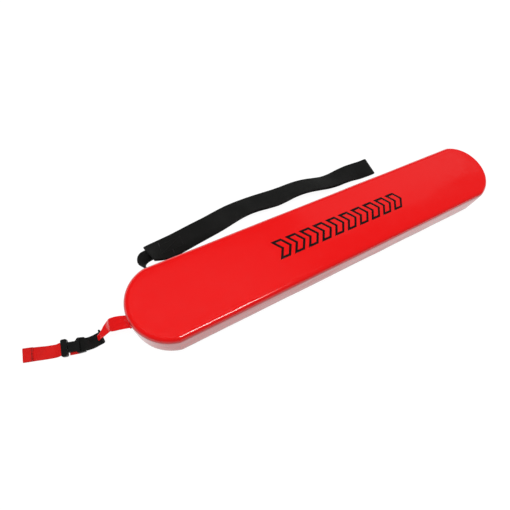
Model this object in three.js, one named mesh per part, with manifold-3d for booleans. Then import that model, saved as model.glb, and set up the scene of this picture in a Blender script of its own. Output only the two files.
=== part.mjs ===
// Lifeguard rescue tube: a foam float in a glossy vinyl skin, with a webbing spine, a buckle on the
// left end, a doubled shoulder strap and the narrow towline that joins the strap to the right end.
// Millimetres. +X runs along the float to the towline end, +Y to the side where the strap lies,
// +Z up. The origin is the centre of the float's flat underside.
import * as THREE from "three";
import { mergeVertices } from "three/addons/utils/BufferGeometryUtils.js";
import Module from "manifold-3d";

const wasm = await Module();
wasm.setup();

// ---------------------------------------------------------------- driving dimensions
const LENGTH = 914; // float, tip to tip
const WIDTH = 152; // float
const HEIGHT = 76; // float
const END_SAGITTA = 60; // how far each end arc bulges past its corners
const CORNER_R = 20; // plan corner where an end arc meets a long side
const TOP_R = 12; // rounding of the top edge
const BOTTOM_R = 15; // rounding of the bottom edge
const SKIN = 1.2; // vinyl thickness
const GAP = 0.3; // clearance between touching pieces

const SPLIT_Z = 43; // glue line between the two foam layers
const WEB_W = 25; // tow webbing width
const WEB_T = 1.6; // tow webbing thickness
const TAB_T = 2.0; // vinyl-coated webbing thickness
const TAB_Z = 42; // height where the spine leaves the ends
const STRAP_W = 44; // shoulder strap as it lies, its 50 mm width cupped
const STRAP_T = 6; // both plies and the ripple between them

const BUCKLE_AT = [-565.5, 19.5, 8.6]; // mouth of the female half, on its centreline
const BUCKLE_YAW = -16; // degrees, its length against +X
const BUCKLE_ROLL = 3; // degrees, far side up
const BASE_HALF = 15.5; // male base, half width
const BASE_LEN = 10;
const WAIST_HALF = 8.7; // female half over its windows
const HEAD_HALF = 14; // female half at its webbing bar
const SHELL_H = 3.6; // half height of the female half
const BAR_R = 1.4;
const EYE = [-516.8, 12.6, 9.8]; // centre of the bend where the link hooks on the tab
const EYE_R = 8;

// ---------------------------------------------------------------- helpers
const deg = (d) => (d * Math.PI) / 180;
const V = (x, y, z) => new THREE.Vector3(x, y, z);

function solidOf(geometry) {
  const g = geometry.clone();
  for (const k of Object.keys(g.attributes)) if (k !== "position") g.deleteAttribute(k);
  const m = mergeVertices(g, 1e-4);
  return new wasm.Manifold(
    new wasm.Mesh({
      numProp: 3,
      vertProperties: new Float32Array(m.attributes.position.array),
      triVerts: new Uint32Array(m.index.array),
    }),
  );
}

function geometryOf(solid) {
  const m = solid.getMesh();
  const p = new Float32Array(m.numVert * 3);
  for (let i = 0; i < m.numVert; i++)
    for (let k = 0; k < 3; k++) p[3 * i + k] = m.vertProperties[i * m.numProp + k];
  const g = new THREE.BufferGeometry();
  g.setAttribute("position", new THREE.BufferAttribute(p, 3));
  g.setIndex(new THREE.BufferAttribute(new Uint32Array(m.triVerts), 1));
  g.computeVertexNormals();
  return g;
}

function box(x0, x1, y0, y1, z0, z1) {
  return new THREE.BoxGeometry(x1 - x0, y1 - y0, z1 - z0).translate(
    (x0 + x1) / 2,
    (y0 + y1) / 2,
    (z0 + z1) / 2,
  );
}

function rod(r, x, z, y0, y1, sides = 16) {
  return new THREE.CylinderGeometry(r, r, y1 - y0, sides).translate(x, (y0 + y1) / 2, z);
}

// A closed mesh from equal rings of points, flat at both ends.
function loft(rings) {
  const n = rings[0].length;
  const pos = [];
  const idx = [];
  for (const ring of rings) for (const p of ring) pos.push(p.x, p.y, p.z);
  for (let i = 0; i + 1 < rings.length; i++)
    for (let j = 0; j < n; j++) {
      const a = i * n + j;
      const b = i * n + ((j + 1) % n);
      idx.push(a, b, b + n, a, b + n, a + n);
    }
  for (const [ring, base, flip] of [
    [rings[0], 0, true],
    [rings[rings.length - 1], (rings.length - 1) * n, false],
  ]) {
    const c = ring.reduce((s, p) => s.add(p), V(0, 0, 0)).multiplyScalar(1 / n);
    const k = pos.length / 3;
    pos.push(c.x, c.y, c.z);
    for (let j = 0; j < n; j++) {
      const a = base + j;
      const b = base + ((j + 1) % n);
      if (flip) idx.push(k, b, a);
      else idx.push(k, a, b);
    }
  }
  const g = new THREE.BufferGeometry();
  g.setAttribute("position", new THREE.Float32BufferAttribute(pos, 3));
  g.setIndex(idx);
  g.computeVertexNormals();
  return g;
}

// Flat webbing along a smooth line. Stations are [x, y, z, width vector x, y, z, width].
function ribbon(stations, thickness, steps) {
  const curve = new THREE.CatmullRomCurve3(
    stations.map((s) => V(s[0], s[1], s[2])),
    false,
    "centripetal",
  );
  const m = stations.length - 1;
  const rings = [];
  for (let i = 0; i <= steps; i++) {
    const t = i / steps;
    const c = curve.getPoint(t);
    const tangent = curve.getTangent(t).normalize();
    const k = Math.min(Math.floor(t * m), m - 1);
    const f = t * m - k;
    const d = V(...stations[k].slice(3, 6)).normalize().lerp(V(...stations[k + 1].slice(3, 6)).normalize(), f);
    const w = stations[k][6] * (1 - f) + stations[k + 1][6] * f;
    d.addScaledVector(tangent, -d.dot(tangent)).normalize();
    const n = tangent.clone().cross(d).normalize();
    const corner = (a, b) =>
      c.clone().addScaledVector(d, (a * w) / 2).addScaledVector(n, (b * thickness) / 2);
    rings.push([corner(-1, -1), corner(1, -1), corner(1, 1), corner(-1, 1)]);
  }
  return loft(rings);
}

// ---------------------------------------------------------------- float outline
const HALF_W = WIDTH / 2;
const END_R = (HALF_W ** 2 + END_SAGITTA ** 2) / (2 * END_SAGITTA);
const END_CX = LENGTH / 2 - END_R;
const CORNER_CY = HALF_W - CORNER_R;
const CORNER_CX = END_CX + Math.sqrt((END_R - CORNER_R) ** 2 - CORNER_CY ** 2);

// The plan outline moved inwards by d, as a ring of points at height z.
function outline(d, z) {
  const r = Math.max(CORNER_R - d, 4);
  const cy = HALF_W - d - r;
  const R = END_R - d;
  const cx = END_CX + Math.sqrt((R - r) ** 2 - cy ** 2);
  const aEnd = Math.atan2(cy, cx - END_CX);
  const q = [];
  for (let i = 0; i < 7; i++) {
    const a = (aEnd * i) / 7;
    q.push([END_CX + R * Math.cos(a), R * Math.sin(a)]);
  }
  for (let i = 0; i <= 4; i++) {
    const a = aEnd + ((Math.PI / 2 - aEnd) * i) / 4;
    q.push([cx + r * Math.cos(a), cy + r * Math.sin(a)]);
  }
  const back = q.slice().reverse().map(([x, y]) => [-x, y]);
  const upper = q.concat(back); // +X tip over the back side to the -X tip
  const lower = upper.slice(1, -1).reverse().map(([x, y]) => [x, -y]);
  return upper.concat(lower).map(([x, y]) => V(x, y, z));
}

// The float's outer form moved inwards by d all round.
function floatForm(d) {
  const rings = [];
  const rb = BOTTOM_R - d;
  const rt = TOP_R - d;
  for (let i = 0; i <= 5; i++) {
    const a = ((Math.PI / 2) * i) / 5;
    rings.push(outline(d + rb * (1 - Math.sin(a)), d + rb * (1 - Math.cos(a))));
  }
  for (let i = 0; i <= 6; i++) {
    const a = ((Math.PI / 2) * i) / 6;
    rings.push(outline(d + rt * (1 - Math.cos(a)), HEIGHT - d - rt * (1 - Math.sin(a))));
  }
  return loft(rings);
}

// ---------------------------------------------------------------- materials
const vinylRed = new THREE.MeshStandardMaterial({ color: 0xe4181c, roughness: 0.2, metalness: 0 });
const webRed = new THREE.MeshStandardMaterial({ color: 0xd2161a, roughness: 0.6, metalness: 0 });
const webBlack = new THREE.MeshStandardMaterial({ color: 0x1b1b1a, roughness: 0.75, metalness: 0 });
const plastic = new THREE.MeshStandardMaterial({ color: 0x141414, roughness: 0.45, metalness: 0 });
const foam = new THREE.MeshStandardMaterial({ color: 0xe9e4d6, roughness: 0.9, metalness: 0 });
const thread = new THREE.MeshStandardMaterial({ color: 0x0c0c0c, roughness: 0.8, metalness: 0 });

const tube = new THREE.Group();
function add(parent, name, geometry, material) {
  const mesh = new THREE.Mesh(geometry, material.clone());
  mesh.name = name;
  parent.add(mesh);
  return mesh;
}

// ---------------------------------------------------------------- float
const form = solidOf(floatForm(0));
const tabSlot = (x0, x1) =>
  solidOf(box(x0, x1, -WEB_W / 2 - 1.8, WEB_W / 2 + 1.8, TAB_Z - 1.9, TAB_Z + 1.9));
const skin = form
  .subtract(solidOf(floatForm(SKIN)))
  .subtract(tabSlot(-LENGTH / 2 - 5, -LENGTH / 2 + 12))
  .subtract(tabSlot(LENGTH / 2 - 12, LENGTH / 2 + 5));
add(tube, "vinyl_skin", geometryOf(skin), vinylRed);

const core = solidOf(floatForm(SKIN + GAP));
const spineGroove = solidOf(box(-LENGTH, LENGTH, -WEB_W / 2 - 0.9, WEB_W / 2 + 0.9, TAB_Z - 1.6, HEIGHT));
add(
  tube,
  "foam_core_lower",
  geometryOf(
    core
      .intersect(solidOf(box(-LENGTH, LENGTH, -WIDTH, WIDTH, -1, SPLIT_Z - GAP / 2)))
      .subtract(spineGroove),
  ),
  foam,
);
add(
  tube,
  "foam_core_upper",
  geometryOf(
    core.intersect(solidOf(box(-LENGTH, LENGTH, -WIDTH, WIDTH, SPLIT_Z + GAP / 2, HEIGHT + 1))),
  ),
  foam,
);
add(
  tube,
  "spine_webbing",
  box(-LENGTH / 2 + 9, LENGTH / 2 - 9, -WEB_W / 2, WEB_W / 2, TAB_Z - 0.9, TAB_Z + 0.7),
  webBlack,
);

// ---------------------------------------------------------------- end tabs, dipped with the skin
const TIP = LENGTH / 2;
const leftTab = solidOf(
  ribbon(
    [
      [-TIP + 8.6, 0, TAB_Z - 0.1, 0, 1, 0, WEB_W],
      [-TIP - 1, 0, TAB_Z - 0.1, 0, 1, 0, WEB_W],
      [-465, 3.9, 40.9, 0.03, 1, 0.03, WEB_W],
      [-473, 8.4, 37.5, 0.1, 0.98, 0.12, WEB_W],
      [-484.5, 15.2, 31, 0.2, 0.94, 0.22, 24],
      [-492.5, 17.8, 25.5, 0.25, 0.92, 0.26, 22],
      [-500, 17, 21.5, 0.2, 0.95, 0.2, 17],
      [-508.6, 14.6, 19.2, 0.1, 0.99, 0.1, 12],
      [-514.2, 13.2, 15, 0.03, 1, 0.03, 9],
      [EYE[0], EYE[1], EYE[2], 0, 1, 0, 9],
    ],
    TAB_T,
    27,
  ),
).add(solidOf(rod(3, EYE[0], EYE[2], EYE[1] - 4.5, EYE[1] + 4.5, 14)));
add(tube, "end_tab_left", geometryOf(leftTab), vinylRed);
add(
  tube,
  "end_tab_right",
  ribbon(
    [
      [TIP - 8.6, 0, TAB_Z - 0.1, 0, 1, 0, WEB_W],
      [TIP + 1, 0, TAB_Z - 0.1, 0, 1, 0, WEB_W],
      [TIP + 8, 0, 40.3, 0, 1, 0, WEB_W],
      [TIP + 12, 0, 34, 0, 1, 0, WEB_W],
      [TIP + 13, 0, 22, 0, 1, 0, WEB_W],
      [TIP + 13, 0, 5, 0, 1, 0, WEB_W],
    ],
    TAB_T,
    14,
  ),
  vinylRed,
);

// ---------------------------------------------------------------- shoulder strap and towline
const strapLine = [
  [-367.5, 132.3],
  [-335.7, 134.1],
  [-298.4, 137.3],
  [-255.5, 140.2],
  [-224, 143.5],
  [-192.6, 150.1],
  [-150, 155.6],
  [-102.7, 155],
  [-65.6, 150.5],
  [-25.7, 153.9],
  [1.6, 154.9],
  [42.3, 151.7],
  [72.1, 143.5],
  [97.8, 140.1],
  [132.2, 144],
  [170.9, 141.4],
  [223.8, 141],
];
add(
  tube,
  "shoulder_strap",
  ribbon(
    strapLine.map(([x, y]) => [x, y, STRAP_T / 2 + 2.9, 0, 1, 0, STRAP_W]),
    STRAP_T,
    40,
  ),
  webBlack,
);
// The towline is sewn under the strap's end, turns on its edge and runs behind the float.
const edgeZ = WEB_W / 2 + 0.8;
const endRun = [];
for (const a of [66, 57, 49, 40, 30, 20, 12]) {
  const off = 4.5 + Math.max(44 - a, 0) * 0.36;
  endRun.push([
    END_CX + (END_R + off) * Math.cos(deg(a)),
    (END_R + off) * Math.sin(deg(a)),
    edgeZ,
    0,
    0,
    1,
    WEB_W,
  ]);
}
const backRun = [-350, -310, -250, -180, -100, -20, 60, 140, 220, 290, 340, 384].map((x) => [
  x,
  HALF_W + 3.2,
  edgeZ,
  0,
  0,
  1,
  WEB_W,
]);
add(
  tube,
  "towline_webbing",
  ribbon(
    [
      [-346, 132.8, 1.5, 0, 1, 0, WEB_W],
      [-360, 132.3, 1.5, 0, 1, 0, WEB_W],
      [-370.6, 131.2, 2.1, 0, 1, 0, WEB_W],
      [-379.3, 128.5, 5.6, -0.15, 0.95, 0.3, WEB_W],
      [-386.7, 123.2, 11.4, -0.3, 0.6, 0.75, WEB_W],
      [-391.3, 114.5, 13.6, -0.1, 0.15, 1, WEB_W],
      [-389.3, 102.3, edgeZ, 0, 0, 1, WEB_W],
      [-379.1, 91.5, edgeZ, 0, 0, 1, WEB_W],
      [-366, 83.5, edgeZ, 0, 0, 1, WEB_W],
      ...backRun,
      ...endRun,
      [TIP + 15.6, 12.5, edgeZ, 0, 0, 1, WEB_W],
      [TIP + 15.6, -12, edgeZ, 0, 0, 1, WEB_W],
    ],
    WEB_T,
    78,
  ),
  webBlack,
);
add(tube, "towline_sewn_joint", box(TIP + 16.8, TIP + 17.6, -10, 10, 5, 22), thread);
const tack = (name, x, y, turn) => {
  const m = add(tube, name, new THREE.BoxGeometry(2.4, 9, 0.8), thread);
  m.position.set(x, y, STRAP_T + 2.9 + 0.75);
  m.rotation.z = deg(turn);
};
tack("strap_bar_tack_outer", -334, 146, 8);
tack("strap_bar_tack_inner", -328, 121.5, 8);

// ---------------------------------------------------------------- link webbing
const yaw = deg(BUCKLE_YAW);
const roll = deg(BUCKLE_ROLL);
const along = V(Math.cos(yaw), Math.sin(yaw), 0);
const flatAcross = V(-Math.sin(yaw), Math.cos(yaw), 0);
const across = flatAcross.clone().multiplyScalar(Math.cos(roll)).add(V(0, 0, Math.sin(roll)));
const up = along.clone().cross(across);
const buckle = new THREE.Group();
buckle.matrixAutoUpdate = false;
buckle.matrix.makeBasis(along, across, up).setPosition(...BUCKLE_AT);
const at = (u, v, w) =>
  V(...BUCKLE_AT).addScaledVector(along, u).addScaledVector(across, v).addScaledVector(up, w);

const BAR_U = 26; // webbing bar of the female half
const linkStations = [];
for (const a of [28, 8, -15, -40, -65, -90])
  linkStations.push([
    EYE[0] + EYE_R * Math.cos(deg(a)),
    EYE[1],
    EYE[2] + EYE_R * Math.sin(deg(a)),
    0,
    1,
    0,
    22,
  ]);
const join = at(BAR_U + 6.5, 0, 0);
linkStations.push([-524.4, 12, 2.6, 0, 1, 0.02, 22]);
linkStations.push([join.x, join.y, join.z, across.x, across.y, across.z, 22]);
const joinIn = at(BAR_U + 2.6, 0, 0);
linkStations.push([joinIn.x, joinIn.y, joinIn.z, across.x, across.y, across.z, 22]);
// the closed eye on the bar
const ring = new THREE.Shape();
ring.absarc(0, 0, BAR_R + 2.0, 0, Math.PI * 2, false);
const hole = new THREE.Path();
hole.absarc(0, 0, BAR_R + 0.35, 0, Math.PI * 2, true);
ring.holes.push(hole);
const eyeGeometry = new THREE.ExtrudeGeometry(ring, { depth: 22, bevelEnabled: false, curveSegments: 10 })
  .translate(0, 0, -11)
  .rotateX(Math.PI / 2)
  .translate(BAR_U, 0, 0)
  .applyMatrix4(buckle.matrix);
add(
  tube,
  "link_webbing",
  geometryOf(solidOf(ribbon(linkStations, 1.6, 24)).add(solidOf(eyeGeometry))),
  webBlack,
);

// ---------------------------------------------------------------- buckle
function plate(points, w0, w1) {
  const s = new THREE.Shape(points.map(([u, v]) => new THREE.Vector2(u, v)));
  return new THREE.ExtrudeGeometry(s, { depth: w1 - w0, bevelEnabled: false }).translate(0, 0, w0);
}
const mirrored = (half) => half.concat(half.slice().reverse().map(([u, v]) => [u, -v]));
const femaleOutline = mirrored([
  [0.5, 9.6],
  [2.5, 8.9],
  [12, WAIST_HALF],
  [13.6, 10],
  [15, 12.6],
  [17, HEAD_HALF],
  [26.5, HEAD_HALF - 0.8],
  [28, HEAD_HALF - 1.8],
]).reverse();
const female = solidOf(plate(femaleOutline, -SHELL_H, SHELL_H))
  .subtract(solidOf(box(-1, 15.6, -7.4, 7.4, -2.2, 2.2))) // socket
  .subtract(solidOf(box(4.5, 11.5, -12, 12, -2.2, 2.2))) // side windows
  .subtract(solidOf(box(19.2, 30, -11.8, 11.8, -5, 5))) // webbing slot
  .add(solidOf(rod(BAR_R, BAR_U, 0, -12.4, 12.4)));
add(buckle, "buckle_socket", geometryOf(female), plastic);
add(buckle, "buckle_backing_webbing", box(1.5, 18.5, -11.5, 11.5, -5.3, -3.95), webRed);

const baseOutline = mirrored([
  [-BASE_LEN - 0.2, BASE_HALF - 2.5],
  [-BASE_LEN + 0.5, BASE_HALF - 0.8],
  [-BASE_LEN + 2, BASE_HALF],
  [-2.4, BASE_HALF],
  [-0.9, BASE_HALF - 0.8],
  [-0.2, BASE_HALF - 2.5],
]).reverse();
const base = solidOf(plate(baseOutline, -3.8, 3.8))
  .subtract(solidOf(box(-8.6, -3, -12.6, 12.6, -5, 2.4))) // webbing well, open below
  .subtract(solidOf(box(-BASE_LEN - 1, -8, -12.6, 12.6, -5, -0.6))) // webbing mouth
  .add(solidOf(rod(1.2, -5.6, -0.9, -13, 13)))
  .add(solidOf(box(-0.8, 13.5, -2.3, 2.3, -1.5, 1.5))); // guide tongue
add(buckle, "buckle_plug", geometryOf(base), plastic);
for (const [name, s] of [
  ["buckle_prong_far", 1],
  ["buckle_prong_near", -1],
]) {
  const half = [
    [0.4, 5.1],
    [0.4, 6.7],
    [4, 6.5],
    [7, 6.9],
    [12.2, 7.0],
    [14.2, 6.0],
    [14.2, 5.2],
    [11, 5.1],
  ].map(([u, v]) => [u, s * v]);
  add(buckle, name, plate(s > 0 ? half.slice().reverse() : half, -1.7, 1.7), plastic);
}
// webbing wrapped on the plug's bar, inside the well
const wrap = new THREE.Shape();
wrap.absarc(0, 0, 2.9, 0, Math.PI * 2, false);
const wrapHole = new THREE.Path();
wrapHole.absarc(0, 0, 1.5, 0, Math.PI * 2, true);
wrap.holes.push(wrapHole);
const wrapRing = solidOf(
  new THREE.ExtrudeGeometry(wrap, { depth: 23, bevelEnabled: false, curveSegments: 9 })
    .translate(0, 0, -11.5)
    .rotateX(Math.PI / 2)
    .translate(-5.6, 0, -0.9),
).intersect(solidOf(box(-8.2, -3.3, -20, 20, -10, 2.1)));
add(
  buckle,
  "pull_tail_wrap",
  geometryOf(wrapRing.add(solidOf(box(-10.6, -6.2, -11.5, 11.5, -3.75, -2.35)))),
  webRed,
);
tube.add(buckle);

// ---------------------------------------------------------------- pull tail
const tail0 = at(-12.7, 0, -3.0);
const tailStations = [
  [tail0.x, tail0.y, tail0.z, across.x, across.y, across.z, 23.5],
  [-583.9, 24.1, 3.4, 0.27, 0.962, 0.03, 23.5],
  [-597.2, 26.9, 2.1, 0.26, 0.966, 0.02, 23.5],
  [-609.2, 31, 1.9, 0.29, 0.957, 0, 23.5],
  [-621.2, 35.1, 1.9, 0.31, 0.95, 0, 23.5],
  [-632.7, 38.9, 1.9, 0.31, 0.95, 0, 23.5],
];
add(tube, "pull_tail", ribbon(tailStations, 2.8, 15), webRed);
const tailTack = add(tube, "pull_tail_stitch", new THREE.BoxGeometry(1.4, 22, 0.6), thread);
tailTack.position.set(-619.2, 34.4, 3.95);
tailTack.rotation.z = deg(-18.2);

export default tube;
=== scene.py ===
"""Looks for a lifeguard rescue tube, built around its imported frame. Shapes are worked out in millimetres and made in metres."""
import math

import bpy
import bmesh
import numpy as np
from mathutils import Matrix, Vector, noise


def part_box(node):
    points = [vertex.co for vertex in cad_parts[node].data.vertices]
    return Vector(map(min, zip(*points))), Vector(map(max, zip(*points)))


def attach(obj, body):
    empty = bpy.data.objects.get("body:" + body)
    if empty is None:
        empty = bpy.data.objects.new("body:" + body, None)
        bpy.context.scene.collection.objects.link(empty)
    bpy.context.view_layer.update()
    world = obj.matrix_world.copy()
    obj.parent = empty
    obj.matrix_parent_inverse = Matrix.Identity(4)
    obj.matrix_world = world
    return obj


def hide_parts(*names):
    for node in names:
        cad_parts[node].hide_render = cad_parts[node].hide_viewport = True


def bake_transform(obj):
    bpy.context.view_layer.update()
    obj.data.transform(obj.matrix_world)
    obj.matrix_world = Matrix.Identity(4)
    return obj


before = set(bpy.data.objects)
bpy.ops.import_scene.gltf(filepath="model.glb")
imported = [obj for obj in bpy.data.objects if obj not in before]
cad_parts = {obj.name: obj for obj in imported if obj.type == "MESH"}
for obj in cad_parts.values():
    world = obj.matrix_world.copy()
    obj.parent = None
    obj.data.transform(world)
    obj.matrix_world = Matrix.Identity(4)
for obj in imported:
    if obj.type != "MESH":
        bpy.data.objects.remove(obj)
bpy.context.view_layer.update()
MM = 0.001
scene = bpy.context.scene
scene.view_settings.view_transform = "Standard"
scene.view_settings.look = "None"

# ------------------------------------------------------------------ camera
cam_data = bpy.data.cameras.new("camera")
cam_data.sensor_width = 36
cam_data.lens = 23.647
cam_data.shift_x = -0.04352
cam_data.shift_y = 0.10472
cam_data.clip_end = 60
cam = bpy.data.objects.new("camera", cam_data)
scene.collection.objects.link(cam)
EYE_AT = Vector((-422.311, -218.767, 641.936))
cam.matrix_world = Matrix(
    (
        (0.842466, 0.425357, -0.330640, EYE_AT.x * MM),
        (-0.501618, 0.843202, -0.193365, EYE_AT.y * MM),
        (0.196547, 0.328758, 0.923735, EYE_AT.z * MM),
        (0, 0, 0, 1),
    )
)
scene.camera = cam


# ------------------------------------------------------------------ node helpers
class Net:
    """A small helper to write a material's nodes."""

    def __init__(self, name):
        self.m = bpy.data.materials.new(name)
        self.m.use_nodes = True
        self.t = self.m.node_tree
        self.t.nodes.clear()
        self.out = self.t.nodes.new("ShaderNodeOutputMaterial")
        self.bsdf = self.t.nodes.new("ShaderNodeBsdfPrincipled")
        self.t.links.new(self.bsdf.outputs[0], self.out.inputs["Surface"])

    def put(self, sock, value):
        if hasattr(value, "is_output"):
            self.t.links.new(value, sock)
        elif value is not None:
            sock.default_value = value

    def set(self, **kw):
        for k, v in kw.items():
            self.put(self.bsdf.inputs[k.replace("_", " ")], v)
        return self

    def math(self, op, a, b=None, c=None, clamp=False):
        n = self.t.nodes.new("ShaderNodeMath")
        n.operation = op
        n.use_clamp = clamp
        for i, v in enumerate((a, b, c)):
            self.put(n.inputs[i], v)
        return n.outputs[0]

    def coords(self, kind="Object"):
        n = self.t.nodes.new("ShaderNodeTexCoord")
        return n.outputs[kind]

    def attr(self, name):
        n = self.t.nodes.new("ShaderNodeAttribute")
        n.attribute_name = name
        return n

    def split(self, v):
        n = self.t.nodes.new("ShaderNodeSeparateXYZ")
        self.put(n.inputs[0], v)
        return n.outputs

    def noise(self, vec, scale, detail=3, rough=0.5):
        n = self.t.nodes.new("ShaderNodeTexNoise")
        self.put(n.inputs["Vector"], vec)
        n.inputs["Scale"].default_value = scale
        n.inputs["Detail"].default_value = detail
        n.inputs["Roughness"].default_value = rough
        return n.outputs["Fac"]

    def voronoi(self, vec, scale):
        n = self.t.nodes.new("ShaderNodeTexVoronoi")
        self.put(n.inputs["Vector"], vec)
        n.inputs["Scale"].default_value = scale
        return n.outputs["Distance"]

    def ramp(self, fac, stops):
        n = self.t.nodes.new("ShaderNodeValToRGB")
        self.put(n.inputs[0], fac)
        e = n.color_ramp.elements
        while len(e) < len(stops):
            e.new(0.5)
        for el, (p, c) in zip(e, stops):
            el.position = p
            el.color = (*c, 1) if len(c) == 3 else c
        return n.outputs[0]

    def remap(self, v, a, b, c, d):
        n = self.t.nodes.new("ShaderNodeMapRange")
        for i, x in enumerate((v, a, b, c, d)):
            self.put(n.inputs[i], x)
        return n.outputs[0]

    def mix(self, fac, a, b, blend="MIX"):
        n = self.t.nodes.new("ShaderNodeMix")
        n.data_type = "RGBA"
        n.blend_type = blend
        self.put(n.inputs[0], fac)
        self.put(n.inputs[6], a)
        self.put(n.inputs[7], b)
        return n.outputs[2]

    def bump(self, height, strength, distance, normal=None):
        n = self.t.nodes.new("ShaderNodeBump")
        n.inputs["Strength"].default_value = strength
        n.inputs["Distance"].default_value = distance
        self.put(n.inputs["Height"], height)
        if normal is not None:
            self.put(n.inputs["Normal"], normal)
        return n.outputs[0]


def vinyl_material(name, color, dark, rough=0.16, painted_shade=0.75):
    n = Net(name)
    co = n.coords()
    big = n.noise(co, 5.0, 3)
    fine = n.noise(co, 420.0, 2)
    pits = n.voronoi(co, 900.0)
    wave = n.noise(co, 16.0, 2)
    scuff = n.noise(co, 60.0, 6, 0.7)
    col = n.mix(n.remap(big, 0.35, 0.65, 0.0, 0.3), (*color, 1), (*dark, 1))
    col = n.mix(n.remap(scuff, 0.66, 0.76, 0.0, 0.06), col, (0.95, 0.06, 0.05, 1))
    # painted shade: the vinyl is coloured a deeper red where it faces sideways, and painted contact shadow: darker and
    # duller on the band it rests on
    facing = n.split(n.coords("Normal"))[2]
    col = n.mix(n.remap(facing, 0.25, 0.85, painted_shade, 0.0), col, (0.34, 0.002, 0.003, 1))
    height = n.split(co)[2]
    # painted contact shadow: the bottom 12 to 15 mm is darkened, made rougher and loses its gloss
    contact_shadow = n.remap(height, 0.0120, 0.0150, 1.0 if painted_shade else 0.0, 0.0)
    col = n.mix(contact_shadow, col, (0.10, 0.02, 0.02, 1))
    h = n.math("ADD", n.math("MULTIPLY", fine, 0.5), n.math("MULTIPLY", n.math("MINIMUM", pits, 0.35), 0.4))
    nrm = n.bump(wave, 0.3, 0.0012)
    nrm = n.bump(h, 0.10, 0.0002, nrm)
    r = n.math("ADD", n.remap(scuff, 0.4, 0.75, rough - 0.03, rough + 0.07), n.math("MULTIPLY", contact_shadow, 0.5))
    n.set(Base_Color=col, Roughness=r, Normal=nrm)
    n.bsdf.inputs["Coat Weight"].default_value = 0.08
    n.bsdf.inputs["Coat Roughness"].default_value = 0.05
    if painted_shade:
        n.put(n.bsdf.inputs["Specular IOR Level"], n.math("MULTIPLY_ADD", contact_shadow, -0.42, 0.42))
    return n.m


def webbing_material(name, color, light, pitch, sheen, rough=0.72, coat=0.0):
    """Woven webbing: warp yarns run along u in a herringbone of raised floats, with fine fuzz. The uv map is in metres."""
    n = Net(name)
    uv = n.coords("UV")
    u, v, _ = n.split(uv)
    co = n.coords()
    yarn = n.math("ABSOLUTE", n.math("SINE", n.math("MULTIPLY", v, math.pi / pitch)))
    fold = n.math("PINGPONG", v, pitch * 6)  # the herringbone's slant turns every six yarns
    phase = n.math("ADD", n.math("MULTIPLY", u, 2 * math.pi / (pitch * 2.4)), n.math("MULTIPLY", fold, 2 * math.pi / (pitch * 3.0)))
    over = n.math("MULTIPLY_ADD", n.math("SINE", phase), 0.5, 0.5)
    h = n.math("ADD", n.math("MULTIPLY", yarn, 0.55), n.math("MULTIPLY", over, 0.45))
    fuzz = n.noise(co, 2600.0, 2)
    patch = n.noise(co, 22.0, 4)
    # painted shade: the colour is halved in the weave's hollows, where the yarn height h is low
    col = n.mix(n.remap(h, 0.2, 0.95, 0.0, 1.0), tuple(c * 0.5 for c in color) + (1,), (*color, 1))
    col = n.mix(n.remap(patch, 0.45, 0.8, 0.0, 0.5), col, (*light, 1))
    nrm = n.bump(h, 0.55, 0.0004)
    nrm = n.bump(fuzz, 0.25, 0.00012, nrm)
    n.set(Base_Color=col, Roughness=n.remap(h, 0, 1, rough + 0.12, rough - 0.06), Normal=nrm)
    n.bsdf.inputs["Sheen Weight"].default_value = sheen
    n.bsdf.inputs["Sheen Roughness"].default_value = 0.4
    n.bsdf.inputs["Coat Weight"].default_value = coat
    n.bsdf.inputs["Coat Roughness"].default_value = 0.3
    n.bsdf.inputs["Specular IOR Level"].default_value = 0.25
    return n.m


def plastic_material(name, color):
    """Moulded acetal with a fine spark-eroded grain and lighter, rubbed edges."""
    n = Net(name)
    co = n.coords()
    grain = n.noise(co, 3800.0, 2)
    flow = n.noise(co, 90.0, 3)
    geo = n.t.nodes.new("ShaderNodeNewGeometry")
    edge = n.remap(geo.outputs["Pointiness"], 0.54, 0.64, 0.0, 0.4)
    rub = n.math("MULTIPLY", edge, n.remap(flow, 0.35, 0.65, 0.2, 1.0))
    col = n.mix(n.remap(flow, 0.3, 0.7, 0, 1), (*color, 1), tuple(c * 1.5 for c in color) + (1,))
    col = n.mix(rub, col, (0.022, 0.022, 0.0215, 1))
    n.set(Base_Color=col, Roughness=n.remap(grain, 0.3, 0.7, 0.34, 0.5), Normal=n.bump(grain, 0.22, 0.00009))
    n.bsdf.inputs["Specular IOR Level"].default_value = 0.3
    return n.m


def thread_material(name, color):
    n = Net(name)
    u, v, _ = n.split(n.coords("UV"))
    twist = n.math("SINE", n.math("ADD", n.math("MULTIPLY", u, 5200.0), n.math("MULTIPLY", v, 9000.0)))
    fuzz = n.noise(n.coords(), 3000.0, 2)
    col = n.mix(n.remap(fuzz, 0.3, 0.7, 0, 1), (*color, 1), tuple(min(1, c * 2.2 + 0.01) for c in color) + (1,))
    n.set(Base_Color=col, Roughness=0.6, Normal=n.bump(twist, 0.4, 0.0001))
    return n.m


def ink_material(name):
    n = Net(name)
    co = n.coords()
    mottled = n.noise(co, 240.0, 5, 0.65)
    col = n.ramp(mottled, [(0.3, (0.004, 0.003, 0.003)), (0.72, (0.014, 0.006, 0.006))])
    n.set(Base_Color=col, Roughness=n.remap(mottled, 0.3, 0.7, 0.26, 0.4), Normal=n.bump(mottled, 0.06, 0.0001))
    n.bsdf.inputs["Specular IOR Level"].default_value = 0.25
    return n.m


def foam_material(name):
    n = Net(name)
    co = n.coords()
    cells = n.voronoi(co, 700.0)
    # painted shade: darker at the cell centres, which the bump makes into pits
    col = n.ramp(cells, [(0.0, (0.62, 0.58, 0.50)), (0.6, (0.82, 0.79, 0.71))])
    n.set(Base_Color=col, Roughness=0.9, Normal=n.bump(cells, 0.5, 0.0004))
    return n.m


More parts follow.
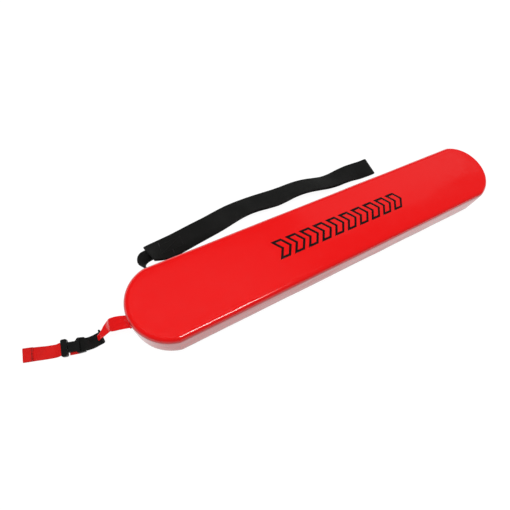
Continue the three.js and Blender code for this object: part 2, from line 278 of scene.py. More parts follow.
VINYL = vinyl_material("vinyl_red", (0.84, 0.0040, 0.0042), (0.79, 0.0035, 0.0035))
VINYL_TAB = vinyl_material("vinyl_red_tab", (0.78, 0.004, 0.0045), (0.62, 0.003, 0.003), 0.14, 0.0)
WEB_RED = webbing_material("webbing_red", (0.80, 0.008, 0.006), (0.88, 0.018, 0.014), 0.0011, 0.03, 0.55, 0.1)
WEB_BLACK = webbing_material("webbing_black", (0.0060, 0.0062, 0.0058), (0.011, 0.0112, 0.0105), 0.0012, 0.02)
STRAP_BLACK = webbing_material("strap_black", (0.0078, 0.0082, 0.0076), (0.0145, 0.015, 0.014), 0.0014, 0.03)
PLASTIC = plastic_material("acetal_black", (0.0040, 0.0041, 0.0040))
THREAD = thread_material("thread_black", (0.006, 0.006, 0.006))
THREAD_RED = thread_material("thread_dark_red", (0.10, 0.006, 0.006))
INK = ink_material("ink_black")
FOAM = foam_material("foam_core")

for node, mat in {
    "vinyl_skin": VINYL,
    "end_tab_left": VINYL_TAB,
    "end_tab_right": VINYL_TAB,
    "foam_core_lower": FOAM,
    "foam_core_upper": FOAM,
    "spine_webbing": WEB_BLACK,
    "shoulder_strap": STRAP_BLACK,
    "towline_webbing": WEB_BLACK,
    "link_webbing": WEB_BLACK,
    "buckle_socket": PLASTIC,
    "buckle_plug": PLASTIC,
    "buckle_prong_far": PLASTIC,
    "buckle_prong_near": PLASTIC,
    "buckle_backing_webbing": WEB_RED,
    "pull_tail_wrap": WEB_RED,
    "pull_tail": WEB_RED,
    "pull_tail_stitch": THREAD,
    "strap_bar_tack_outer": THREAD,
    "strap_bar_tack_inner": THREAD,
    "towline_sewn_joint": THREAD,
}.items():
    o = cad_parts[node]
    o.data.materials.clear()
    o.data.materials.append(mat)


# ------------------------------------------------------------------ mesh helpers
def make(name, verts, faces, mat, uvs=None, smooth=True):
    """A mesh from points in millimetres. uvs holds one (u, v) in metres for each face corner."""
    me = bpy.data.meshes.new(name)
    me.from_pydata([tuple(float(c) * MM for c in v) for v in verts], [], faces)
    me.validate()
    me.materials.append(mat)
    if uvs is not None:
        layer = me.uv_layers.new(name="UVMap")
        flat = [uv for f in uvs for uv in f]
        for i, uv in enumerate(flat):
            layer.data[i].uv = (uv[0] * MM, uv[1] * MM)
    if smooth:
        me.polygons.foreach_set("use_smooth", [True] * len(me.polygons))
    me.update()
    ob = bpy.data.objects.new(name, me)
    scene.collection.objects.link(ob)
    return ob


def mod(ob, kind, **kw):
    m = ob.modifiers.new(kind.lower(), kind)
    for k, v in kw.items():
        setattr(m, k, v)
    return m


def apply_modifiers(ob):
    dg = bpy.context.evaluated_depsgraph_get()
    me = bpy.data.meshes.new_from_object(ob.evaluated_get(dg))
    ob.modifiers.clear()
    ob.data = me
    return ob


def catmull(points, n):
    """n points, evenly spaced by length, on a smooth line through rows of numbers. The first three columns are the place."""
    p = np.array(points, float)
    k = len(p)
    seg = np.linalg.norm(np.diff(p[:, :3], axis=0), axis=1)
    t = np.r_[0, np.cumsum(np.sqrt(np.maximum(seg, 1e-6)))]
    # finite-difference tangents on centripetal spacing
    m = np.zeros_like(p)
    for i in range(k):
        a, b = max(i - 1, 0), min(i + 1, k - 1)
        m[i] = (p[b] - p[a]) / (t[b] - t[a])
    for i in range(1, k - 1):
        d0, d1 = (p[i] - p[i - 1]) / (t[i] - t[i - 1]), (p[i + 1] - p[i]) / (t[i + 1] - t[i])
        w = (t[i] - t[i - 1]) / (t[i + 1] - t[i - 1])
        m[i] = d0 * (1 - w) + d1 * w

    def at(x):
        i = np.clip(np.searchsorted(t, x, side="right") - 1, 0, k - 2)
        h = t[i + 1] - t[i]
        s = ((x - t[i]) / h)[:, None]
        h = h[:, None]
        return (
            (2 * s**3 - 3 * s**2 + 1) * p[i]
            + (s**3 - 2 * s**2 + s) * h * m[i]
            + (-2 * s**3 + 3 * s**2) * p[i + 1]
            + (s**3 - s**2) * h * m[i + 1]
        )

    fine = np.linspace(0, t[-1], 40 * k)
    q = at(fine)
    run = np.r_[0, np.cumsum(np.linalg.norm(np.diff(q[:, :3], axis=0), axis=1))]
    return at(np.interp(np.linspace(0, run[-1], n), run, fine))


def webbing(name, rows, thickness, mat, step=2.5, across=14, sag=None, ends=0.5, lift=None):
    """A flat strap with rounded selvedges along a line. Rows are [x, y, z, dx, dy, dz, width].
    sag(s, q) gives an out-of-plane offset in mm, at s along (0 to 1) and q across (-1 to 1)."""
    length = np.linalg.norm(np.diff(np.array(rows, float)[:, :3], axis=0), axis=1).sum()
    n = max(8, int(length / step))
    p = catmull(rows, n)
    c, d, w = p[:, :3], p[:, 3:6], p[:, 6]
    tan = np.gradient(c, axis=0)
    tan /= np.linalg.norm(tan, axis=1)[:, None]
    d = d - (d * tan).sum(1)[:, None] * tan
    d /= np.linalg.norm(d, axis=1)[:, None]
    nrm = np.cross(tan, d)
    run = np.r_[0, np.cumsum(np.linalg.norm(np.diff(c, axis=0), axis=1))]
    # ring of the section: over the top from one selvedge to the other, and back below
    qs = np.linspace(-1, 1, across)
    prof = []
    for q in qs:
        prof.append((q, 1.0))
    for q in qs[::-1]:
        prof.append((q, -1.0))
    verts, faces, uvs = [], [], []
    ring = len(prof)
    for i in range(n):
        for q, s in prof:
            edge = min(1.0, (1 - abs(q)) * w[i] / 2 / (thickness * 0.6)) if thickness > 0 else 1
            th = thickness / 2 * (0.45 + 0.55 * math.sqrt(max(0.0, 1 - (1 - edge) ** 2)))
            off = sag(i / (n - 1), q) if sag else 0.0
            x = c[i] + d[i] * q * w[i] / 2 + nrm[i] * (s * th + off)
            verts.append(x)
    for i in range(n - 1):
        for j in range(ring):
            k = (j + 1) % ring
            faces.append((i * ring + j, i * ring + k, (i + 1) * ring + k, (i + 1) * ring + j))
            vj, vk = prof[j][0] * w[i] / 2, prof[k][0] * w[i] / 2
            uvs.append(((run[i], vj), (run[i], vk), (run[i + 1], vk), (run[i + 1], vj)))
    for i in (0, n - 1):  # ends, as strips of quads between the two faces
        for j in range(across - 1):
            a, b = i * ring + j, i * ring + j + 1
            cidx, didx = i * ring + ring - 2 - j, i * ring + ring - 1 - j
            f = (a, didx, cidx, b) if i == 0 else (a, b, cidx, didx)
            faces.append(f)
            uvs.append(tuple((run[i], prof[t % ring][0] * w[i] / 2) for t in [x - i * ring for x in f]))
    ob = make(name, verts, faces, mat, uvs)
    bm = bmesh.new()
    bm.from_mesh(ob.data)
    bmesh.ops.recalc_face_normals(bm, faces=bm.faces)
    bm.to_mesh(ob.data)
    bm.free()
    return ob, c, d, nrm, run


def stitches(name, points, normals, mat, length=2.6, gap=0.7, r=0.32, body=None):
    """A line of sewn stitches: each is a short thread that dips into the cloth at both ends."""
    pts = np.array(points, float)
    run = np.r_[0, np.cumsum(np.linalg.norm(np.diff(pts, axis=0), axis=1))]
    total = run[-1]
    count = max(1, int((total + gap) / (length + gap)))
    pitch = (total + gap) / count
    verts, faces, uvs = [], [], []
    nr = np.array(normals, float)
    if nr.ndim == 1:
        nr = np.repeat(nr[None], len(pts), 0)
    for i in range(count):
        s0, s1 = i * pitch, i * pitch + pitch - gap
        base = len(verts)
        m = 7
        cs, ns = [], []
        for j in range(m):
            s = s0 + (s1 - s0) * j / (m - 1)
            c = np.array([np.interp(s, run, pts[:, k]) for k in range(3)])
            q = np.array([np.interp(s, run, nr[:, k]) for k in range(3)])
            q /= np.linalg.norm(q)
            bow = math.sin(math.pi * j / (m - 1))
            cs.append(c + q * r * (1.1 * bow - 0.9))
            ns.append(q)
        cs = np.array(cs)
        tg = np.gradient(cs, axis=0)
        tg /= np.linalg.norm(tg, axis=1)[:, None]
        for j in range(m):
            side = np.cross(tg[j], ns[j])
            side /= np.linalg.norm(side)
            top = np.cross(side, tg[j])
            rr = r * (0.55 + 0.45 * math.sin(math.pi * j / (m - 1)))
            for k in range(6):
                a = 2 * math.pi * k / 6
                verts.append(cs[j] + side * rr * math.cos(a) + top * rr * math.sin(a))
        for j in range(m - 1):
            for k in range(6):
                k2 = (k + 1) % 6
                faces.append((base + j * 6 + k, base + j * 6 + k2, base + (j + 1) * 6 + k2, base + (j + 1) * 6 + k))
                uvs.append(((s0 + j, k), (s0 + j, k + 1), (s0 + j + 1, k + 1), (s0 + j + 1, k)))
        for f in (tuple(base + k for k in range(6))[::-1], tuple(base + (m - 1) * 6 + k for k in range(6))):
            faces.append(f)
            uvs.append(tuple((s0, 0) for _ in f))
    ob = make(name, verts, faces, mat, uvs)
    bm = bmesh.new()
    bm.from_mesh(ob.data)
    bmesh.ops.recalc_face_normals(bm, faces=bm.faces)
    bm.to_mesh(ob.data)
    bm.free()
    if body:
        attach(ob, body)
    return ob


# ------------------------------------------------------------------ float
lo, hi = (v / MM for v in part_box("vinyl_skin"))
LENGTH, WIDTH, HEIGHT = hi.x - lo.x, hi.y - lo.y, hi.z - lo.z
SAG, CORNER_R, TOP_R, BOTTOM_R = 60.0, 20.0, 12.0, 15.0
HALF_W = WIDTH / 2
END_R = (HALF_W**2 + SAG**2) / (2 * SAG)
END_CX = LENGTH / 2 - END_R


def outline(d, n_arc=34, n_cor=12, n_side=44):
    """The plan outline moved inwards by d, as an even ring of points, anticlockwise from the +X tip."""
    r = max(CORNER_R - d, 4.0)
    cy = HALF_W - d - r
    R = END_R - d
    cx = END_CX + math.sqrt(max((R - r) ** 2 - cy**2, 0))
    a_end = math.atan2(cy, cx - END_CX)
    q = []
    for i in range(n_arc):
        a = a_end * i / n_arc
        q.append((END_CX + R * math.cos(a), R * math.sin(a)))
    for i in range(n_cor + 1):
        a = a_end + (math.pi / 2 - a_end) * i / n_cor
        q.append((cx + r * math.cos(a), cy + r * math.sin(a)))
    side = [(cx - 2 * cx * i / n_side, HALF_W - d) for i in range(1, n_side)]
    back = [(-x, y) for x, y in q[::-1]]
    upper = q + side + back
    lower = [(x, -y) for x, y in upper[1:-1][::-1]]
    return upper + lower


def float_surface():
    rows = []  # (inset, z)
    for d in (70, 62, 54, 46, 38, 30, 22, 17):
        rows.append((d, 0.0))
    for i in range(13):
        a = math.pi / 2 * i / 12
        rows.append((BOTTOM_R * (1 - math.sin(a)), BOTTOM_R * (1 - math.cos(a))))
    for i in range(1, 8):
        rows.append((0.0, BOTTOM_R + (HEIGHT - BOTTOM_R - TOP_R) * i / 8))
    for i in range(16):
        a = math.pi / 2 * i / 15
        rows.append((TOP_R * (1 - math.cos(a)), HEIGHT - TOP_R * (1 - math.sin(a))))
    for d in (14, 17, 21, 26, 32, 38, 46, 54, 62, 70):
        rows.append((d, HEIGHT))
    verts = []
    for d, z in rows:
        for x, y in outline(d):
            verts.append([x, y, z])
    ring = len(outline(0))
    faces = []
    for i in range(len(rows) - 1):
        for j in range(ring):
            k = (j + 1) % ring
            faces.append((i * ring + j, i * ring + k, (i + 1) * ring + k, (i + 1) * ring + j))
    half = ring // 2
    for i, flip in ((0, True), (len(rows) - 1, False)):
        b = i * ring
        for j in range(half):
            a0, a1 = j, j + 1
            c0, c1 = (ring - j) % ring, ring - j - 1
            f = [b + a0, b + a1, b + c1, b + c0]
            f = [v for n, v in enumerate(f) if v not in f[:n]]
            faces.append(tuple(f[::-1] if flip else f))
    out = []
    for x, y, z in verts:
        # foam under a dipped skin: a slight crown and slow waves, none at the flat it lies on
        up = max(0.0, min(1.0, z / HEIGHT))
        crown = 1.4 * (1 - (y / HALF_W) ** 2) * up**6
        p = Vector((x * 0.011, y * 0.017, z * 0.02))
        wave = noise.noise(p) * 0.75 + noise.noise(p * 2.7 + Vector((7, 3, 1))) * 0.28
        wave *= min(1.0, z / 12.0)
        side = Vector((0 if abs(x) < END_CX else (x - math.copysign(END_CX, x)), y, 0))
        side = side.normalized() if side.length > 1 else Vector((0, 0, 0))
        flat = min(1.0, max(0.0, (z - 43) / 33))
        out.append((x + side.x * wave * (1 - flat), y + side.y * wave * (1 - flat), z + crown + wave * flat * 0.7))
    return out, faces


verts, faces = float_surface()
body = make("float_skin", verts, faces, VINYL)
bm = bmesh.new()
bm.from_mesh(body.data)
bmesh.ops.recalc_face_normals(bm, faces=bm.faces)
bm.to_mesh(body.data)
bm.free()
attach(body, "float")
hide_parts("vinyl_skin")


def top_z(x, y):
    """Height of the visible top face at a point on it."""
    p = Vector((x * 0.011, y * 0.017, HEIGHT * 0.02))
    wave = noise.noise(p) * 0.75 + noise.noise(p * 2.7 + Vector((7, 3, 1))) * 0.28
    return HEIGHT + 1.4 * (1 - (y / HALF_W) ** 2) + wave * 0.7


# ------------------------------------------------------------------ printed device: a row of outlined chevrons
def band(name, loops, body="float"):
    """Ink bands between an outer and an inner outline, laid on the top face a hair proud of it."""
    verts, faces = [], []
    for outer, inner in loops:
        n = len(outer)
        sub = 6
        for j in range(n):
            k = (j + 1) % n
            base = len(verts)
            for s in range(sub + 1):
                t = s / sub
                for a, b in ((outer[j], outer[k]), (inner[j], inner[k])):
                    x, y = a[0] * (1 - t) + b[0] * t, a[1] * (1 - t) + b[1] * t
                    verts.append((x, y, top_z(x, y) + 0.16))
            for s in range(sub):
                faces.append((base + 2 * s, base + 2 * s + 2, base + 2 * s + 3, base + 2 * s + 1))
    ob = make(name, verts, faces, INK)
    bm = bmesh.new()
    bm.from_mesh(ob.data)
    bmesh.ops.remove_doubles(bm, verts=bm.verts, dist=1e-6)
    bmesh.ops.recalc_face_normals(bm, faces=bm.faces)
    if sum(f.normal.z for f in bm.faces) < 0:
        bmesh.ops.reverse_faces(bm, faces=bm.faces)
    bm.to_mesh(ob.data)
    bm.free()
    mod(ob, "SOLIDIFY", thickness=0.00018, offset=-1.0)
    apply_modifiers(ob)
    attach(ob, body)
    return ob


def inset_loop(loop, d):
    """A closed outline, anticlockwise, moved inwards by d with mitred corners."""
    p = [Vector(v) for v in loop]
    n = len(p)
    out = []
    for i in range(n):
        a, b, c = p[i - 1], p[i], p[(i + 1) % n]
        u, v = (b - a).normalized(), (c - b).normalized()
        nu, nv = Vector((-u.y, u.x)), Vector((-v.y, v.x))
        m = (nu + nv).normalized()
        out.append(b + m * (d / max(0.3, m.dot(nu))))
    return [(q.x, q.y) for q in out]


loops = []
CH_T, CH_W, PITCH = 24.0, 14.0, 33.2
x = -163.0
for i in range(10):
    h = 41.0 / 2
    y = 2.0 - 0.012 * (x + 163)
    ch = [(x, y - h), (x + CH_T, y - h), (x + CH_T + CH_W, y), (x + CH_T, y + h), (x, y + h), (x + CH_W, y)]
    loops.append((ch, inset_loop(ch, 4.9)))
    x += PITCH
band("printed_chevrons", loops)


# ------------------------------------------------------------------ end tabs
def tab_crease(s, q):
    near = 0.62 * math.sin(9.5 * q + 16 * s) * math.exp(-(((s - 0.26) / 0.14) ** 2))
    return near + 0.5 * math.sin(9 * s + 2.4 * q) * math.exp(-((s - 0.55) / 0.35) ** 2) + 0.35 * math.sin(22 * s - 3 * q) * (1 - abs(q)) * s


EYE = (-516.8, 12.6, 9.8)
tab, *_ = webbing(
    "tab_left",
    [
        [-450, 4.2, 41.9, 0, 1, 0, 24],
        [-457.5, 5.4, 41.9, 0, 1, 0, 24],
        [-465, 8.2, 41.4, 0.06, 1, 0.05, 24.5],
        [-473, 11.6, 39.6, 0.14, 0.98, 0.12, 25],
        [-481, 14.2, 37.0, 0.2, 0.96, 0.16, 25],
        [-487.6, 16.6, 33.6, 0.24, 0.94, 0.2, 23.6],
        [-490.6, 17.4, 29.6, 0.3, 0.92, 0.26, 21],
        [-494.6, 16.6, 26.0, 0.34, 0.92, 0.26, 18.5],
        [-500.5, 14.4, 22.6, 0.26, 0.95, 0.14, 15],
        [-506.2, 12.4, 19.6, 0.12, 1, 0.06, 12],
        [-510.6, 11.9, 16.4, 0, 1, 0, 10],
        [EYE[0], EYE[1], EYE[2] - 1.6, 0, 1, 0, 10],
    ],
    2.3,
    VINYL_TAB,
    step=1.5,
    across=16,
    sag=tab_crease,
)
mod(tab, "SUBSURF", levels=1, render_levels=1)
apply_modifiers(tab)
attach(tab, "float")
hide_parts("end_tab_left")

tab_r, *_ = webbing(
    "tab_right",
    [
        [451, 0, 41.9, 0, 1, 0, 26],
        [458.5, 0, 41.9, 0, 1, 0, 26],
        [465, 0, 40.2, 0, 1, 0, 26],
        [469, 0, 34.0, 0, 1, 0, 25.5],
        [470.2, 0, 22, 0, 1, 0, 25],
        [470.2, 0, 12, 0, 1, 0, 25],
        [470.0, 0, 4.2, 0, 1, 0, 25],
    ],
    2.3,
    VINYL_TAB,
    step=1.5,
    across=14,
    sag=lambda s, q: 0.25 * math.sin(13 * s + 2 * q),
)
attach(tab_r, "float")
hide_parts("end_tab_right")


def boot(name, sign):
    """The swell of dipped vinyl where a tab leaves the skin."""
    rings = []
    for t, (hw, hh) in zip(
        np.linspace(0, 1, 9),
        [(13.9, 3.4), (13.5, 2.9), (13.2, 2.5), (12.9, 2.3), (12.7, 2.1), (12.6, 1.9), (12.5, 1.75), (12.4, 1.5), (12.3, 1.3)],
    ):
        ring = []
        for k in range(48):
            a = 2 * math.pi * k / 48
            cx, sx = math.cos(a), math.sin(a)
            y = hw * math.copysign(abs(cx) ** 0.55, cx)
            z = 41.9 + hh * math.copysign(abs(sx) ** 0.8, sx)
            # start on the skin, which curves back from the tip
            back = END_R - math.sqrt(END_R**2 - y * y)
            over = 0.0
            x = LENGTH / 2 - back - 1.0 - over + t * (back + 4.0)
            ring.append((sign * x, y + (4.4 if sign < 0 else 0.0), z))
        rings.append(ring)
    verts = [p for r in rings for p in r]
    faces = []
    for i in range(len(rings) - 1):
        for k in range(48):
            k2 = (k + 1) % 48
            faces.append((i * 48 + k, i * 48 + k2, (i + 1) * 48 + k2, (i + 1) * 48 + k))
    faces.append(tuple(range(48))[::-1])
    faces.append(tuple((len(rings) - 1) * 48 + k for k in range(48)))
    ob = make(name, verts, faces, VINYL)
    bm = bmesh.new()
    bm.from_mesh(ob.data)
    bmesh.ops.recalc_face_normals(bm, faces=bm.faces)
    bm.to_mesh(ob.data)
    bm.free()
    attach(ob, "float")


boot("tab_boot_left", -1)
boot("tab_boot_right", 1)

# ------------------------------------------------------------------ shoulder strap, two plies folded at the right end
STRAP_W = 47.0
far = np.array(
    [(-367.3, 149.1), (-336, 152.8), (-314.9, 156.4), (-285.6, 161.4), (-257.6, 163.4), (-228.8, 165.6), (-195.6, 172.2), (-163.8, 176.3), (-133.7, 176), (-102.7, 174.8), (-72.3, 172), (-39.2, 171.4), (-18.5, 172.4), (12.5, 171.6), (40.6, 168.6), (68.4, 161), (82.9, 158), (107.8, 158.9), (143.6, 163.8), (192.8, 165.9), (225.7, 164.5)]
)
near = np.array(
    [(-373.9, 117), (-359.2, 109), (-334.4, 105.5), (-309.1, 107), (-281, 112), (-252.2, 118), (-222.5, 121.6), (-189.5, 128.6), (-155.4, 135.8), (-122.7, 138.8), (-93.1, 135.2), (-62.6, 129.4), (-23.4, 135.8), (3.3, 137.8), (43.7, 134.1), (63.7, 128.3), (91.9, 122.4), (110.9, 123.2), (133.2, 125.6), (165.4, 121.2), (181, 116), (197.6, 114.6), (223.5, 117.5)]
)
N = 26
s = np.linspace(0, 1, N)
fx = far[0, 0] + (far[-1, 0] - far[0, 0]) * s
nx = near[0, 0] + (near[-1, 0] - near[0, 0]) * s
fy, ny = np.interp(fx, far[:, 0], far[:, 1]), np.interp(nx, near[:, 0], near[:, 1])
for arr in (fy, ny):
    arr[1:-1] = 0.25 * arr[:-2] + 0.5 * arr[1:-1] + 0.25 * arr[2:]
top_ply, bottom_ply = [], []
for i in range(N):
    f_pt = np.array([fx[i], fy[i], 5.4])
    base = np.array([nx[i], ny[i], 5.4])
    eye = np.array(EYE_AT)
    lift = lambda h: eye + (base - eye) * ((5.4 + h - eye[2]) / (5.4 - eye[2]))
    a, b = 0.0, 30.0  # the near edge stands up where the strap looks narrow
    if np.linalg.norm(f_pt - lift(0.0)) < STRAP_W:
        for _ in range(30):
            m = (a + b) / 2
            if np.linalg.norm(f_pt - lift(m)) < STRAP_W:
                a = m
            else:
                b = m
    n_pt = lift(a)
    c = (n_pt + f_pt) / 2
    d = f_pt - n_pt
    up = np.cross([1, 0.02, 0], d)
    up /= np.linalg.norm(up)
    if up[2] < 0:
        up = -up
    row = lambda o: [*(c + up * o), *(d / np.linalg.norm(d)), STRAP_W]
    part = 1.35 + 0.9 * math.sin(math.pi * min(1, i / (N - 1) * 1.02)) ** 0.6
    top_ply.append(row(part))
    bottom_ply.append(row(-part if i else -1.35))
tip = np.array(top_ply[-1][:3]) * 0.5 + np.array(bottom_ply[-1][:3]) * 0.5
fold = [[tip[0] + 2.6, tip[1], tip[2], *top_ply[-1][3:6], STRAP_W]]
strap_rows = bottom_ply + fold + top_ply[::-1]


def strap_ripple(t, q):
    return 0.5 * math.sin(31 * t + 1.3 * q) * (q**2) + 0.25 * math.sin(67 * t - 2 * q)


# each ply and the fold between them are one piece of webbing
strap, *_ = webbing("strap_webbing", strap_rows, 1.7, STRAP_BLACK, step=4.0, across=22, sag=strap_ripple)
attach(strap, "float")
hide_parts("shoulder_strap")

# ------------------------------------------------------------------ towline, from under the strap's end round the back of the float
edge_z = 13.3
rows = [
    [-340, 133.2, 1.9, 0, 1, 0, 25],
    [-356, 132.6, 1.9, 0, 1, 0, 25],
    [-367, 132.0, 2.6, -0.06, 1, 0.06, 25],
    [-376, 130.0, 5.4, -0.2, 0.9, 0.36, 24],
    [-384.2, 125.4, 9.6, -0.42, 0.6, 0.66, 24],
    [-390.4, 118.4, 12.2, -0.5, 0.16, 0.85, 25],
    [-392.6, 110.4, 13.2, -0.45, -0.1, 0.88, 25],
    [-390.2, 102.6, edge_z, -0.2, -0.05, 0.97, 25],
    [-382.6, 94.2, edge_z, -0.05, -0.02, 1, 25],
    [-371, 86.0, edge_z, 0, 0, 1, 25],
    [-354, 80.4, edge_z, 0, 0, 1, 25],
]
for x in range(-320, 381, 70):
    rows.append([x, 79.2 + 0.5 * math.sin(x * 0.021), edge_z, 0, 0.03 * math.sin(x * 0.013), 1, 25])
rows.append([384, 79.2, edge_z, 0, 0, 1, 25])
for a in (66, 57, 49, 40, 30, 20, 12):
    off = 4.5 + max(44 - a, 0) * 0.36
    rows.append([END_CX + (END_R + off) * math.cos(math.radians(a)), (END_R + off) * math.sin(math.radians(a)), edge_z, 0, 0, 1, 25])
rows += [[LENGTH / 2 + 15.6, 12.5, edge_z, 0, 0, 1, 25], [LENGTH / 2 + 15.6, -12, edge_z, 0, 0, 1, 25]]
tow, tow_c, tow_d, tow_n, tow_run = webbing("towline", rows, 1.6, WEB_BLACK, step=3.0, across=14, sag=lambda t, q: 0.25 * math.sin(60 * t) * q)
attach(tow, "float")
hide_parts("towline_webbing")

# box stitch where the towline is sewn to the right tab
x0 = LENGTH / 2 + 16.4
loop = [(x0, -10, 5), (x0, 10, 5), (x0, 10, 22), (x0, -10, 22), (x0, -10, 5), (x0, 10, 22), (x0, 10, 5), (x0, -10, 22)]
tow_st = stitches("towline_box_stitch", loop, (1, 0, 0), THREAD, body="float")
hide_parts("towline_sewn_joint")


# ------------------------------------------------------------------ strap stitching
def interp_rows(rows, i, q, off):
    r = np.array(rows[i], float)
    d = r[3:6] / np.linalg.norm(r[3:6])
    nrm = np.cross([1, 0, 0], d)
    nrm /= np.linalg.norm(nrm)
    if nrm[2] < 0:
        nrm = -nrm
    return r[:3] + d * q * STRAP_W / 2 + nrm * off, nrm


box_pts = []
for i, q in ((1, -0.45), (1, 0.45), (3, 0.45), (3, -0.45), (1, -0.45), (3, 0.45)):
    box_pts.append(interp_rows(top_ply, i, q, 1.05)[0])
stitches("strap_box_stitch", box_pts, (0, 0, 1), THREAD, body="float")


def bar_tack(name, centre, direction, across, count, node=None, body="float", mat=None):
    """A dense zigzag of thread."""
    c, d, a = Vector(centre), Vector(direction).normalized(), Vector(across).normalized()
    pts = []
    for i in range(count * 2 + 1):
        pts.append(tuple(c + d * ((i / (count * 2)) - 0.5) * count * 0.62 + a * (1.3 if i % 2 else -1.3)))
    nrm = d.cross(a).normalized()
    if nrm.z < 0:
        nrm = -nrm
    ob = stitches(name, pts, tuple(nrm), mat or THREAD, length=2.5, gap=0.12, r=0.34, body=body)
    if node:
        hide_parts(node)
    return ob


p, nrm = interp_rows(top_ply, 1, 0.55, 1.25)
bar_tack("bar_tack_outer", p, (0.15, 1, 0.02), (1, 0, 0), 14, "strap_bar_tack_outer")
p, nrm = interp_rows(top_ply, 2, -0.6, 1.25)
bar_tack("bar_tack_inner", p, (0.15, 1, 0.1), (1, 0, 0), 14, "strap_bar_tack_inner")

# ------------------------------------------------------------------ buckle frame
yaw, roll = math.radians(-16), math.radians(3)
ALONG = Vector((math.cos(yaw), math.sin(yaw), 0))
FLAT = Vector((-math.sin(yaw), math.cos(yaw), 0))
ACROSS = FLAT * math.cos(roll) + Vector((0, 0, math.sin(roll)))
UP = ALONG.cross(ACROSS)
BUCKLE = Vector((-565.5, 19.5, 8.6))


def at(u, v, w):
    return BUCKLE + ALONG * u + ACROSS * v + UP * w


# link webbing: hooks under the coated tab, and closes on the socket's bar
link_rows = []
for a in (40, 22, 4, -18, -42, -66, -90):
    link_rows.append([EYE[0] + 8 * math.cos(math.radians(a)), EYE[1] + 0.6, EYE[2] + 8 * math.sin(math.radians(a)), 0.02, 1, 0.02, 23.4])
link_rows.append([-524.4, 12.2, 2.7, 0, 1, 0.02, 23])
for u, w in ((33, 0.6), (29.6, 2.2), (27.0, 2.7), (24.2, 2.8), (21.4, 2.5), (19.6, 0.9), (20.2, -1.2), (23.8, -2.1), (27.2, -2.4), (30, -1.9), (33, -1.6)):
    p = at(u, 0, w)
    link_rows.append([*p, *ACROSS, 22.6])
link, link_c, link_d, link_n, link_run = webbing(
    "link_web",
    link_rows,
    1.7,
    WEB_BLACK,
    step=0.9,
    across=18,
    sag=lambda t, q: -1.5 * math.exp(-((t / 0.09) ** 2)) * (1 - q * q) + 0.2 * math.sin(20 * t + 2 * q),
)
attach(link, "link")
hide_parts("link_webbing")


# ------------------------------------------------------------------ buckle mouldings
def moulded(name, node, body, voxel=0.00034, smooth=5):
    """The CAD piece with its edges rounded as a mould would leave them."""
    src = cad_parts[node]
    ob = bpy.data.objects.new(name, src.data.copy())
    scene.collection.objects.link(ob)
    ob.data.materials.clear()
    ob.data.materials.append(PLASTIC)
    mod(ob, "REMESH", mode="VOXEL", voxel_size=voxel, use_smooth_shade=True)
    mod(ob, "SMOOTH", factor=0.5, iterations=smooth)
    apply_modifiers(ob)
    ob.data.polygons.foreach_set("use_smooth", [True] * len(ob.data.polygons))
    ob.data.materials.clear()
    ob.data.materials.append(PLASTIC)
    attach(ob, body)
    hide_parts(node)
    return ob


moulded("socket", "buckle_socket", "link")
moulded("plug", "buckle_plug", "plug")
moulded("prong_far", "buckle_prong_far", "prong_far", 0.00026, 3)
moulded("prong_near", "buckle_prong_near", "prong_near", 0.00026, 3)

# red webbing under the socket, seen beside its waist
rows = []
for u, w in ((1.2, -4.55), (6, -4.6), (12, -4.6), (18.6, -4.5)):
    rows.append([*at(u, -2.8, w), *ACROSS, 21.6])
backing, *_ = webbing("backing_web", rows, 1.3, WEB_RED, step=1.0, across=14)
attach(backing, "link")
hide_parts("buckle_backing_webbing")

# ------------------------------------------------------------------ pull tail
tail_rows = []
for u, w in ((-6.4, 1.2), (-4.6, 0.4), (-3.9, -1.0), (-4.8, -2.7), (-7.0, -3.3), (-9.4, -3.2), (-11, -3.1)):
    tail_rows.append([*at(u, 0, w), *ACROSS, 23.2])
tail_rows += [
    [*at(-13.0, 0, -3.0), *ACROSS, 23.3],
    [-583.9, 24.1, 3.5, 0.27, 0.962, 0.03, 23.5],
    [-597.2, 28.2, 2.3, 0.26, 0.966, 0.02, 23.8],
    [-609.2, 32.6, 2.0, 0.28, 0.957, 0, 24.4],
    [-621.2, 37.0, 2.0, 0.27, 0.96, 0, 25.0],
    [-632.4, 40.9, 2.0, 0.25, 0.967, 0, 25.4],
]
tail, tc, td, tn, trun = webbing("tail_web", tail_rows, 1.5, WEB_RED, step=0.9, across=18, sag=lambda t, q: 0.12 * math.sin(25 * t + q))
hinge = at(-12.7, 0, -3.0)
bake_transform(tail)
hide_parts("pull_tail", "pull_tail_wrap")
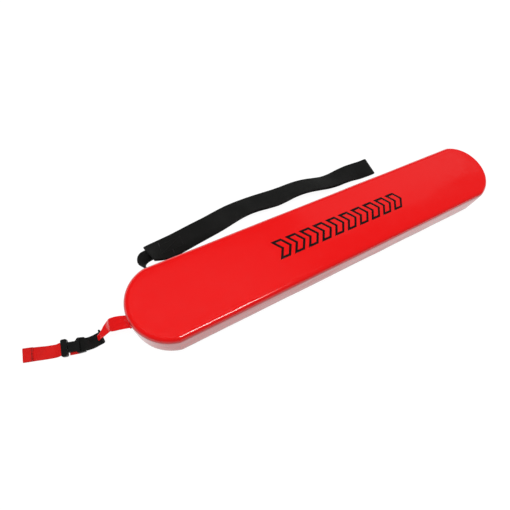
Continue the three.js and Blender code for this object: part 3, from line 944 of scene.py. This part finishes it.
# the turned-back end, sewn down
hem_rows = [
    [-633.1, 41.1, 2.4, 0.26, 0.965, 0, 25.0],
    [-632.8, 41.0, 3.3, 0.26, 0.965, 0, 25.0],
    [-629.2, 39.8, 3.5, 0.26, 0.965, 0, 25.0],
    [-623.2, 37.8, 3.5, 0.26, 0.965, 0, 25.0],
    [-618.6, 36.2, 3.3, 0.26, 0.965, 0, 25.0],
]
hem, *_ = webbing("tail_hem", hem_rows, 1.2, WEB_RED, step=0.9, across=18)
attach(hem, "tail")
a = Vector((0.26, 0.965, 0)).normalized()
c = Vector((-620.4, 36.8, 4.2))
st = stitches("tail_stitch", [tuple(c + a * k) for k in (-11.2, 0, 11.2)], (0, 0, 1), THREAD, length=2.2, gap=0.35, r=0.42, body="tail")
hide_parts("pull_tail_stitch")
c2 = Vector((-619.1, 36.3, 3.75))
stitches("tail_stitch_second", [tuple(c2 + a * k) for k in (-11.2, 0, 11.2)], (0, 0, 1), THREAD, length=2.2, gap=0.35, r=0.34, body="tail")

# ------------------------------------------------------------------ floor and light
me = bpy.data.meshes.new("floor")
me.from_pydata([(-14, -14, 0), (14, -14, 0), (14, 14, 0), (-14, 14, 0)], [], [(0, 1, 2, 3)])
floor = bpy.data.objects.new("floor", me)
scene.collection.objects.link(floor)
fl = Net("floor_white")
fl.set(Base_Color=(0.10, 0.10, 0.10, 1), Roughness=0.9)
fl.bsdf.inputs["Emission Color"].default_value = (1, 1, 1, 1)
fl.bsdf.inputs["Emission Strength"].default_value = 0.95  # a lit white sweep
fl.bsdf.inputs["Specular IOR Level"].default_value = 0.0
me.materials.append(fl.m)

world = bpy.data.worlds.new("world")
scene.world = world
world.use_nodes = True
world.node_tree.nodes["Background"].inputs[0].default_value = (1, 1, 1, 1)
world.node_tree.nodes["Background"].inputs[1].default_value = 0.16


def area(name, loc, target, size, power, size_y=None):
    d = bpy.data.lights.new(name, "AREA")
    d.energy = power
    d.shape = "RECTANGLE"
    d.size = size
    d.size_y = size_y or size
    o = bpy.data.objects.new(name, d)
    scene.collection.objects.link(o)
    o.location = loc
    o.rotation_euler = (Vector(target) - Vector(loc)).to_track_quat("-Z", "Y").to_euler()
    return o


def sun(name, direction, strength, angle):
    d = bpy.data.lights.new(name, "SUN")
    d.energy = strength
    d.angle = math.radians(angle)
    o = bpy.data.objects.new(name, d)
    scene.collection.objects.link(o)
    o.rotation_euler = Vector(direction).to_track_quat("-Z", "Y").to_euler()
    return o


key = sun("key", (0.03, -0.05, -1.0), 2.8, 60)
key.visible_glossy = False  # a big overhead scrim: it lights the float and leaves no patch on its gloss
box = area("softbox_back", (2.25, 1.17, 2.0), (2.25, 1.17, 0.0), 2.3, 2.2, 1.1)
box.visible_diffuse = False
strip = area("strip_front", (-0.085, -0.93, 1.29), (-0.3, -0.07, 0.07), 0.67, 14, 0.22)
strip.visible_diffuse = False

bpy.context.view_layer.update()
